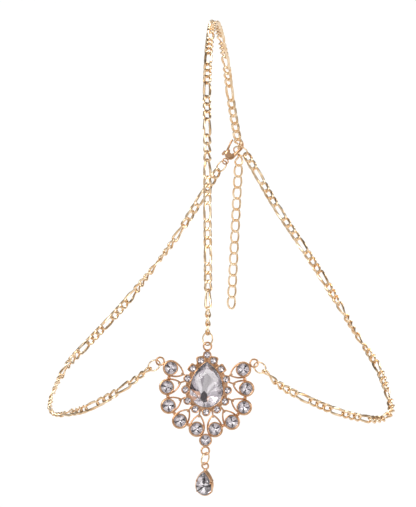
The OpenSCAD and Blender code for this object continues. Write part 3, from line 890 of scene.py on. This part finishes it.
class HAIRCHAIN_OT_setting(bpy.types.Operator):
    """Builds the soldered setting: wall, seats, petals, struts, loops and beads"""

    bl_idname = "hair_chain.setting"
    bl_label = "Pendant setting"

    def execute(self, context):
        p = context.scene.hair_chain.pendant
        at, origin, radius, tip = pendant_place()
        shape = Shape(at)
        add_seat(shape, pear_outline(radius, tip), p.wall_height / MM, p.centre_wall / MM)
        halo = np.array([round_stone(name, origin) for name in HALO])
        petals = np.array([round_stone(name, origin) for name in PETALS])
        base = np.array(round_stone("base_stone", origin))
        self.add_halo(shape, p, radius, tip, halo)
        self.add_petals(shape, p, petals)
        self.add_base_and_loops(shape, p, halo[13], petals[5], base)
        shape.make("pendant_setting", "worn_chain", "rose_gold", "pendant_frame")
        return {"FINISHED"}

    def add_halo(self, shape, p, radius, tip, halo):
        """The small seats round the centre stone, with their backing, struts and prongs."""
        width, depth = p.wire_width / MM, p.wire_depth / MM
        for i, (x, y, stone) in enumerate(halo, 1):
            # Away from the stone's edge, whose sides are arcs about points beyond the other side
            inset = (tip * tip - radius * radius) / (2 * radius) if 0 < y < tip else 0
            facing = math.degrees(math.atan2(y, x + math.copysign(inset, x)))
            self.add_small_seat(shape, p, moved(x, y, 0, facing), i in SQUARE_SEATS, stone)
        # The backing under the small seats
        near, far, thick, edge = 0.3, 1.8, 0.6, 0.1
        shape.add(*walled(pear_outline(radius, tip), [
            (near, 0), (far - edge, 0), (far, edge), (far, thick - edge), (far - edge, thick),
            (near, thick)], True))
        for a, b in zip(halo[:12, :2], halo[1:13, :2]):
            add_strut(shape, a, b, width, depth)
            self.add_prong(shape, (a + b) / 2, radius, tip, p.wall_height / MM)
        add_strut(shape, [0, tip], halo[13, :2], width, depth)

    def add_petals(self, shape, p, petals):
        """The petals' wires and seats, and the solder between neighbours."""
        width, depth, length = p.wire_width / MM, p.wire_depth / MM, p.petal_length / MM
        # From a petal's tip on into the seats round the centre stone
        to_halo = 1.35
        for i, (x, y, stone) in enumerate(petals):
            lean = PETAL_TURNS[i % 5] * (1 if x > 0 else -1)
            place = moved(x, y, 0, math.degrees(math.atan2(y, x)) + 180 - lean)
            line = petal_line(stone + p.petal_rim / MM, length, width)
            section = bar_section(width, depth, corner=0.33, steps=5)
            add_bar(shape, line, depth / 2, section, place)
            add_strut(shape, [length - 2 * width, 0], [length + to_halo, 0], width, depth, place)
            add_seat(shape, circle_outline(stone), p.seat_height / MM, p.seat_wall / MM, place)
        # A blob of solder joins each two neighbours of the five petals on a side
        blob, rise, edge, top = 0.7, 0.5, 0.1, depth - 0.2
        for i in (0, 1, 2, 3, 5, 6, 7, 8):
            x, y = (petals[i, :2] + petals[i + 1, :2]) / 2
            shape.add(*dome(blob, rise), moved(x, y, top - 0.05))
            shape.add(*walled(circle_outline(blob, 24), [(-edge, 0), (0, edge), (0, top)]),
                      moved(x, y))

    def add_base_and_loops(self, shape, p, top, side, base):
        """The seat under the petals and the four loops, from the stones that carry them."""
        base_wall = 0.53
        add_seat(shape, circle_outline(base[2]), p.seat_height / MM, base_wall, moved(0, base[1]))
        # The loops sink into what they are soldered to by the grip
        grip = 0.15
        wire, radius = p.loop_wire / MM, (p.loop_bore + p.loop_wire) / 2 / MM
        reach = radius + wire / 2 - grip
        beside = side[:2] + unit(side[:2]) * (side[2] + p.petal_rim / MM + reach)
        for middle in ([0, top[1] + top[2] + p.seat_wall / MM + reach],
                       [0, base[1] - base[2] - SEAT_GAP - base_wall - reach + grip],
                       beside, beside * [-1, 1]):
            add_loop(shape, middle, p.wire_depth / MM / 2, radius, wire)

    def add_prong(self, shape, towards, radius, tip, high):
        """A small prong on the centre stone's rim, between two of the seats round it."""
        out, thick, foot, cap, rise = 0.42, 0.3, 0.3, 0.27, 0.16
        degrees = math.degrees(math.atan2(towards[1], towards[0]))
        x, y = on_circle(1, degrees) * (pear_reach(radius, tip, degrees) + out)
        side = [(0, foot), (0, high - 0.15), (-0.06, high)]
        shape.add(*walled(circle_outline(thick, 16), side), moved(x, y))
        shape.add(*dome(cap, rise), moved(x, y, high))

    def add_small_seat(self, shape, p, place, square, stone):
        """A round or a square seat with four beads pushed over the stone."""
        high = p.seat_height / MM
        if square:
            outline, out, rise, low = square_outline(stone + 0.05), stone + 0.47, 0.4, 0.12
        else:
            outline, out, rise, low = circle_outline(stone, 32), stone + 0.3, 0.42, 0.1
        add_seat(shape, outline, high, p.seat_wall / MM, place)
        for degrees in (45, 135, 225, 315):
            x, y = on_circle(out, degrees)
            shape.add(*dome(p.bead / MM, rise, 12), place @ moved(x, y, high - low))


class HAIRCHAIN_OT_stones(bpy.types.Operator):
    """Cuts the pendant's stones: the pear in the middle and the round ones about it"""

    bl_idname = "hair_chain.stones"
    bl_label = "Pendant stones"

    def execute(self, context):
        at, origin, radius, tip = pendant_place()
        p = context.scene.hair_chain.pendant
        # How far the girdles lie under the rims of their seats
        centre_sunk, round_sunk = 0.2, 0.35

        crown, back, table, mains, arcs = 2.3, 1.25, 0.6, 8, 3
        # Foil of the back facets as painted light (1), painted half shade (2), painted shade (3)
        # and a painted reflection of the setting (4): for the long facets, for the halves at the
        # girdle, and for the foot
        tones = ((1, 1, 4, 1, 1, 1, 2, 1), (2, 1, 2, 3, 1, 4, 1, 1, 2, 1, 1, 2, 1, 2, 1, 1), 3)
        cut = brilliant(pear_outline(radius, tip, 192)(0), np.array([0, 0.8]), crown, back, table,
                        mains, arcs, tones, foot_at=(-0.9, -2.2), flat=0.22)
        place = at @ moved(0, 0, p.wall_height / MM - centre_sunk)
        make_stone("centre_stone", "worn_chain", place, cut)

        girdle = p.seat_height / MM - round_sunk
        # The round stones' back facets take painted light (1), painted half shade (2) and painted
        # shade (3) in the same way
        table, arcs, tones = 0.56, 1, ((3, 1, 2, 1, 3, 1, 3, 2), (1, 1, 2, 1, 1), 2)
        # Each stone was dropped in at a turn of its own, in degrees
        turn_between = 17
        for k, name in enumerate(HALO + PETALS + ["base_stone"]):
            x, y, stone = round_stone(name, origin)
            cut = brilliant(circle_outline(stone, 96)(0), np.zeros(2), 0.44 * stone, 0.26 * stone,
                            table, mains, arcs, tones)
            make_stone(name, "worn_chain", at @ moved(x, y, girdle, turn_between * k), cut)
        return {"FINISHED"}


# The drop

def drop_axes():
    """Directions of the drop's own x right, y up and z to the front."""
    a = bpy.context.scene.hair_chain.drop.turned
    return np.array([[math.cos(a), 0, -math.sin(a)], [-math.sin(a), 0, -math.cos(a)], [0, 1, 0]])


class HAIRCHAIN_OT_drop(bpy.types.Operator):
    """Builds the drop: its open setting with rails, claws and bail, and its pear stone"""

    bl_idname = "hair_chain.drop"
    bl_label = "Drop"

    def execute(self, context):
        d = context.scene.hair_chain.drop
        axes = drop_axes()
        low, high = box_in("drop_stone", axes)
        radius = (high[0] - low[0]) / 2
        tip = high[1] - low[1] - radius
        crown = 0.4 * radius
        at = matrix(axes @ [(low[0] + high[0]) / 2, low[1] + radius, high[2] - crown], axes)
        behind = Matrix.Translation((0, 0, -d.bail_behind / MM))
        at = at @ np.array(behind @ Matrix.Rotation(d.eased, 4, "Y") @ behind.inverted())
        depth, wire, wall = d.depth / MM, d.bail_wire / MM, d.wall / MM

        shape = Shape(at)
        # Top, bottom, outer and inner side of each rail
        back_rail = (wall - depth, -depth, -0.23, -0.23 - wall)
        front_rail = (-0.05, -1.2, 0.37, -0.1)
        edge = 0.1
        for top, bottom, out, into in (back_rail, front_rail):
            shape.add(*walled(pear_outline(radius, tip), [
                (out - edge, bottom), (out, bottom + edge), (out, top - edge), (out - edge, top),
                (into + edge, top), (into, top - edge), (into, bottom + edge),
                (into + edge, bottom)], True))
        for degrees in (40, 140, 215, 325):
            self.add_claw(shape, radius, tip, degrees, depth, d.claw / MM)
        bail, over_tip = d.bail_diameter / MM / 2, 0.3
        add_loop(shape, [0, tip + over_tip + bail], -d.bail_behind / MM, bail - wire / 2, wire)
        # The neck curves back from the stone's point to the bail
        neck = [(0, tip - 0.2, -0.7), (0, tip + 0.25, -0.95), (0, tip + 0.62, -1.4)]
        shape.add(*swept(neck, (1, 0, 0), bar_section(width=0.8, depth=0.9, corner=0.25), False))
        shape.make("drop_setting_open", "drop", "rose_gold", "drop_setting")

        back, table, mains, arcs = 1.0, 0.5, 8, 3
        # Foil of the drop's back facets as painted light (1), painted half shade (2) and painted
        # shade (3): for the long facets, for the halves at the girdle, and for the foot
        tones = ((3, 1, 2, 3, 1, 1, 3, 1), (1, 1, 2, 1, 3, 1, 1, 2), 3)
        cut = brilliant(pear_outline(radius, tip, 192)(0), np.array([0, 0.5]), crown, back, table,
                        mains, arcs, tones, flat=0.12)
        make_stone("drop_stone", "drop", at, cut)
        return {"FINISHED"}

    def add_claw(self, shape, radius, tip, degrees, depth, claw):
        """A claw from the back rail up the side of the stone, bent over its edge."""
        out = float(pear_reach(radius, tip, degrees)) + 0.2
        direction = on_circle(1, degrees)
        # Its middle line, out from the stone's middle and up
        steps = [(out - 0.5, -depth + 0.1), (out - 0.2, -depth + 0.9), (out, -1.6), (out, -0.4),
                 (out - 0.03, 0.1), (out - 0.22, 0.42), (out - 0.5, 0.52)]
        path = np.array([[*(direction * r), z] for r, z in steps])
        section = np.array([round_section(claw * s, 10) for s in (1, 1, 1, 1, 1, 0.95, 0.6)])
        shape.add(*swept(path, (-direction[1], direction[0], 0), section, False))


# The clasp

def clasp_place():
    """The clasp's frame: x to the nose, y away from the gate, from the middle of its body."""
    c = bpy.context.scene.hair_chain.clasp
    tilt = Matrix.Rotation(math.radians(90) - bpy.context.scene.hair_chain.pendant.lean, 3, "X")
    axes = np.array(tilt @ Matrix.Rotation(c.tilt, 3, "Z")) @ np.diag([1.0, -1.0, 1.0])
    low, high = box_in("clasp_body", axes)
    nose = c.nose / MM
    origin = [high[0] - c.length / MM / 2 - nose, high[1] - nose, (low[2] + high[2]) / 2]
    return matrix(axes @ origin, axes)


def arc(centre, radius, start, end, steps):
    """Points on an arc about a centre, from one angle to another in degrees."""
    return on_circle(radius, np.linspace(start, end, steps)) + centre


class HAIRCHAIN_OT_clasp(bpy.types.Operator):
    """Builds the lobster clasp: hook, cheeks, pin and tail eye, and its lever"""

    bl_idname = "hair_chain.clasp"
    bl_label = "Clasp"

    def execute(self, context):
        c = context.scene.hair_chain.clasp
        nose, heel, half = c.nose / MM, c.heel / MM, c.length / MM / 2
        # Where the straight back of the hook touches both of its circles
        touch = math.degrees(math.acos((heel - nose) / (2 * half)))
        pivot = np.array([-half, -1.15])
        self.make_hook(c, nose, heel, half, touch, pivot)
        self.make_lever(c, nose, heel, half, touch, pivot)
        return {"FINISHED"}

    def make_hook(self, c, nose, heel, half, touch, pivot):
        """The hook with its cheeks, its pin and the tail eye."""
        width, depth = c.arm_width / MM, c.arm_depth / MM
        play, mouth, cheek_depth, pin, pin_head = 0.2, 1.05, 0.55, 0.35, 0.5
        slot = c.lever_depth / MM + play
        nose_at, heel_at, mouth_at = [half, 0], [-half, 0], [-half + heel - 0.6, 0]

        shape = Shape(clasp_place())
        line = np.concatenate([arc(nose_at, nose - width / 2, -54, touch, 40),
                               arc(heel_at, heel - width / 2, touch, 205, 24)])
        # The hook is rounded off at its open end and drawn in where it runs into the cheeks
        open_end, drawn_in, last = 0.62, 0.6, 8
        taper = np.clip(np.linspace(0.3, 6, len(line)), 0, 1)[:, None, None] ** 0.5
        section = bar_section(width, depth, corner=0.42, steps=4)[None]
        section = section * (open_end + (1 - open_end) * taper)
        section[-last:] *= np.linspace(1, drawn_in, last)[:, None, None]
        add_bar(shape, line, 0, section)

        cheek = np.concatenate([arc(heel_at, heel, 62, 298, 40), arc(mouth_at, mouth, 270, 90, 24)])
        for side in (-1, 1):
            flip = np.diag([1.0, 1.0, float(side)])
            shape.add(*pillow(cheek, cheek_depth), matrix((0, 0, side * slot / 2), flip))
            head_at = (*pivot, side * (slot / 2 + 0.36))
            shape.add(*dome(pin_head, height=0.12), matrix(head_at, flip))
        # What joins the cheeks behind the lever, and the pin, both run a little into the cheeks
        core = np.concatenate([arc(heel_at, heel - 0.06, 62, 196, 24),
                               arc(mouth_at, mouth + 0.03, 196, 90, 16)])
        core_end, pin_end = slot / 2 + 0.02, slot / 2 + 0.2
        shape.add(*plate(core, -core_end, core_end, bevel=0.01))
        shape.add(*walled(circle_outline(pin, 16), [(0, -pin_end), (0, pin_end)]), moved(*pivot))

        eye_wall, eye_depth, neck_width = 0.55, 0.8, 1.2
        eye_out = c.eye_bore / MM / 2 + eye_wall
        eye = [-half - heel - eye_out + 0.2, 0]
        ring = arc(eye, eye_out - eye_wall / 2, 0, 351, 40)
        add_bar(shape, ring, 0, bar_section(eye_wall, eye_depth, corner=0.22), closed=True)
        neck = np.linspace([eye[0] + eye_out - 0.3, 0], [-half - heel + 0.5, 0], 4)
        add_bar(shape, neck, 0, bar_section(neck_width, eye_depth, corner=0.25))
        shape.make("clasp_hook", "worn_chain", "rose_gold", "clasp_body")

    def make_lever(self, c, nose, heel, half, touch, pivot):
        """The lever and its thumb tab, along the open side of the outline, a little inside it."""
        lever_width, lever_depth = c.lever_width / MM, c.lever_depth / MM
        shape = Shape(clasp_place())
        inner = lever_width / 2 + 0.05
        past_nose, hub, nose_share = 1.0, 0.95, 0.8
        end = -math.degrees(math.acos(past_nose / (nose - inner)))
        line = np.concatenate([[pivot + [0.2, -0.35]],
                               arc([-half, 0], heel - inner, -touch - 2, -touch, 2),
                               arc([half, 0], nose - inner, -touch, end, 16)])
        section = bar_section(lever_width, lever_depth, corner=0.3, steps=4)[None]
        add_bar(shape, line, 0, section * np.linspace(1, nose_share, len(line))[:, None, None])
        tab = np.concatenate([arc([-half - 1.5, -heel - 0.25], 0.55, 90, 270, 12),
                              [[-half, -heel - 0.7]], [pivot + [0.5, -0.5]]])
        for outline in (arc(pivot, hub, 0, 345, 24), tab):
            shape.add(*plate(outline, -lever_depth / 2, lever_depth / 2, bevel=0.1))
        shape.make("clasp_thumb_lever", "lever", "rose_gold", "clasp_lever")


# The stage

def add_softbox(name, place, width, height, power):
    """A soft area light that shines from a place at the middle of the object."""
    aim = (0.0, -0.03, -0.08)
    data = bpy.data.lights.new(name, "AREA")
    data.shape, data.size, data.size_y, data.energy = "RECTANGLE", width, height, power
    light = bpy.data.objects.new(name, data)
    light.location = place
    light.rotation_euler = (Vector(aim) - Vector(place)).to_track_quat("-Z", "Y").to_euler()
    bpy.context.scene.collection.objects.link(light)


class HAIRCHAIN_OT_stage(bpy.types.Operator):
    """Sets the floor, the studio light and the camera"""

    bl_idname = "hair_chain.stage"
    bl_label = "Stage"

    def execute(self, context):
        self.lay_floor(context)
        self.light(context)
        self.set_camera(context)
        return {"FINISHED"}

    def lay_floor(self, context):
        """A plain pale floor, well under the object, which hangs as it is worn."""
        # Matt paper, which the eye sees as one even tone without shine
        material, tree = new_material("pale studio paper")
        paper = add_node(tree, "ShaderNodeBsdfPrincipled", {
            "Base Color": linear(context.scene.hair_chain.finish.floor), "Roughness": 0.9})
        add_node(tree, "ShaderNodeOutputMaterial", {"Surface": paper.outputs["BSDF"]})
        mesh = bpy.data.meshes.new("floor")
        wide, level = 12.0, -0.45
        corners = ((-wide, -wide), (wide, -wide), (wide, wide), (-wide, wide))
        mesh.from_pydata([(x, y, level) for x, y in corners], [], [(0, 1, 2, 3)])
        mesh.materials.append(material)
        floor = bpy.data.objects.new("floor", mesh)
        context.scene.collection.objects.link(floor)

    def light(self, context):
        """White studio light with a dark gap in front, beside it and behind for metal to show."""
        world = bpy.data.worlds.new("studio")
        world.use_nodes = True
        tree = world.node_tree
        tree.nodes.clear()
        direction = add_node(tree, "ShaderNodeTexCoord").outputs["Generated"]
        lean = context.scene.hair_chain.pendant.lean
        ahead = add_node(tree, "ShaderNodeVectorMath", {
            0: direction, 1: (0.0, -math.cos(lean), math.sin(lean))}, operation="DOT_PRODUCT")
        share = add_node(tree, "ShaderNodeMapRange", {
            "Value": ahead.outputs["Value"], "From Min": -1.0, "From Max": 1.0})
        bands = add_node(tree, "ShaderNodeValToRGB", {"Fac": share.outputs["Result"]})
        ramp = bands.color_ramp
        # Share of full white from straight behind to straight in front
        stops = ((0.0, 0.45), (0.44, 0.35), (0.5, 0.1), (0.6, 0.1), (0.66, 0.7), (0.8, 0.95),
                 (0.89, 0.85), (0.95, 0.25), (1.0, 0.6))
        while len(ramp.elements) < len(stops):
            ramp.elements.new(1.0)
        for element, (place, value) in zip(ramp.elements, stops):
            element.position, element.color = place, (value, value, value, 1.0)
        sky = add_node(tree, "ShaderNodeBackground", {
            "Color": bands.outputs["Color"], "Strength": 1.1})
        add_node(tree, "ShaderNodeOutputWorld", {"Surface": sky.outputs["Background"]})
        context.scene.world = world
        add_softbox("key softbox", (-0.9, -1.3, 1.1), 0.8, 0.8, 11)
        add_softbox("fill softbox", (1.4, -0.7, 0.5), 0.6, 1.0, 6)
        add_softbox("back softbox", (0.2, 1.4, 1.0), 1.6, 0.6, 15)

    def set_camera(self, context):
        """A long lens at the photograph's angle, with the picture's own scale."""
        s = context.scene.hair_chain.stage
        turned = (Matrix.Rotation(-s.azimuth, 3, "Z")
                  @ Matrix.Rotation(math.pi / 2 - s.elevation, 3, "X")
                  @ Matrix.Rotation(s.roll, 3, "Z"))
        across, above, back = turned.col
        target = Vector(s.target) + s.pixel * (s.offset[0] * across + s.offset[1] * above)
        # The picture is 507 pixels high, on a sensor 36 mm high, and the target lies 60 mm nearer
        picture_height, sensor, nearer = 507, 36, 0.06
        distance = picture_height * s.pixel * s.lens / sensor - nearer
        data = bpy.data.cameras.new("camera")
        data.lens, data.clip_start, data.clip_end = s.lens, 0.5, 40
        camera = bpy.data.objects.new("camera", data)
        context.scene.collection.objects.link(camera)
        camera.matrix_world = Matrix.Translation(target + distance * back) @ turned.to_4x4()
        context.scene.camera = camera
        context.scene.view_settings.view_transform = "Standard"


# Panel and registration

class HAIRCHAIN_PT_panel(bpy.types.Panel):
    """Lists the pieces of the hair chain and their sizes"""

    bl_idname = "HAIRCHAIN_PT_panel"
    bl_label = "Hair chain"
    bl_space_type = "VIEW_3D"
    bl_region_type = "UI"
    bl_category = "Hair chain"

    def draw(self, context):
        settings = context.scene.hair_chain
        for name in ("links", "pendant", "drop", "clasp", "finish", "stage"):
            box = self.layout.box()
            box.label(text=name.capitalize())
            group = getattr(settings, name)
            for key in group.bl_rna.properties.keys():
                if key not in ("rna_type", "name"):
                    box.prop(group, key)
        for operator in PIECES:
            self.layout.operator(operator.bl_idname)


PIECES = (HAIRCHAIN_OT_chains, HAIRCHAIN_OT_extender, HAIRCHAIN_OT_jump_rings,
          HAIRCHAIN_OT_setting, HAIRCHAIN_OT_stones, HAIRCHAIN_OT_drop, HAIRCHAIN_OT_clasp,
          HAIRCHAIN_OT_stage)
GROUPS = (HairChainLinks, HairChainPendant, HairChainDrop, HairChainClasp, HairChainFinish,
          HairChainStage, HairChainSettings)


def register():
    """Registers the settings, the operators and the panel."""
    for one in GROUPS + PIECES + (HAIRCHAIN_PT_panel,):
        bpy.utils.register_class(one)
    bpy.types.Scene.hair_chain = PointerProperty(type=HairChainSettings)


def unregister():
    """Takes them away again."""
    del bpy.types.Scene.hair_chain
    for one in reversed(GROUPS + PIECES + (HAIRCHAIN_PT_panel,)):
        bpy.utils.unregister_class(one)


def main():
    """Builds every piece in order."""
    register()
    for operator in PIECES:
        group, name = operator.bl_idname.split(".")
        getattr(getattr(bpy.ops, group), name)()


if __name__ == "__main__":
    main()
